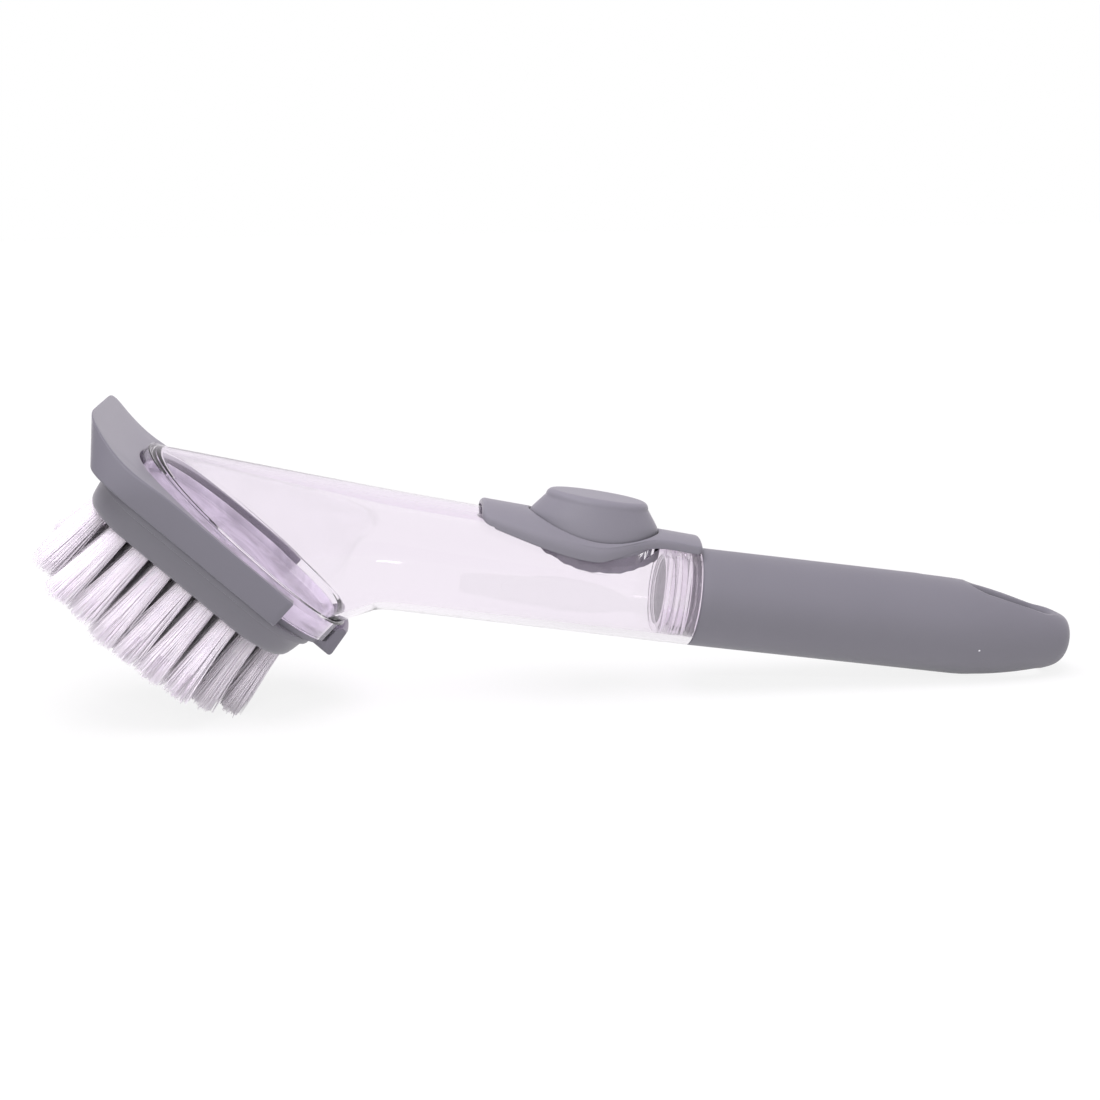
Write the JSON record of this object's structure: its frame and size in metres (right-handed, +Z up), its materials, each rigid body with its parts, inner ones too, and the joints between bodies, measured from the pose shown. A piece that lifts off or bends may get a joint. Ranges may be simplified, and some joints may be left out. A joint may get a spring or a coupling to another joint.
{
  "type": "soap dispensing dish wand",
  "caption": "Dish wand with a clear soap reservoir, a pump button in a lift-off filler cap, a soft grip with a hanging slot and a brush head with a scraper that clips on.",
  "frame": {"origin": "on the ground it rests on, below the middle of the whole wand", "axes": "+X runs from the brush head to the tail of the grip, +Z up, the wand's plane of symmetry is Y = 0"},
  "size_m": [0.2644, 0.05, 0.0791],
  "materials": {
    "clear_plastic": "gloss",
    "grey_rubber": "matte",
    "grey_plastic": "satin",
    "dark_grey_plastic": "satin",
    "white_bristle": "satin",
    "staple_steel": "satin"
  },
  "bodies": {
    "wand": {"reservoir_body": "clear_plastic", "reservoir_base": "clear_plastic", "outlet_valve": "grey_rubber", "valve_retainer": "clear_plastic", "rear_plug": "clear_plastic", "plug_seal": "grey_rubber", "grip_core": "dark_grey_plastic", "grip_sleeve": "grey_rubber"},
    "filler_cap": {"filler_cap": "grey_rubber", "button_membrane": "grey_rubber"},
    "pump_button": {"pump_button": "grey_rubber"},
    "brush_head": {"scraper_frame": "grey_plastic", "brush_block": "dark_grey_plastic", "bristles": "white_bristle", "tuft_staples": "staple_steel"},
    "latch": {"latch_tongue": "grey_plastic"}
  },
  "joints": [
    {"name": "cap_lift", "type": "slide", "parent": "wand", "child": "filler_cap", "axis": [0.186, 0, 0.9825], "range_m": [0, 0.016]},
    {"name": "button_press", "type": "slide", "parent": "filler_cap", "child": "pump_button", "axis": [-0.186, 0, -0.9825], "range_m": [0, 0.003], "stiffness_N_per_m": 2000},
    {"name": "head_pull", "type": "slide", "parent": "wand", "child": "brush_head", "axis": [-0.6911, 0, -0.7228], "range_m": [0, 0.015]},
    {"name": "latch_flex", "type": "hinge", "parent": "brush_head", "child": "latch", "pos_m": [-0.08047, 0, 0.03208], "axis": [0, 1, 0], "range_deg": [0, 6], "stiffness_Nm_per_rad": 0.2}
  ]
}
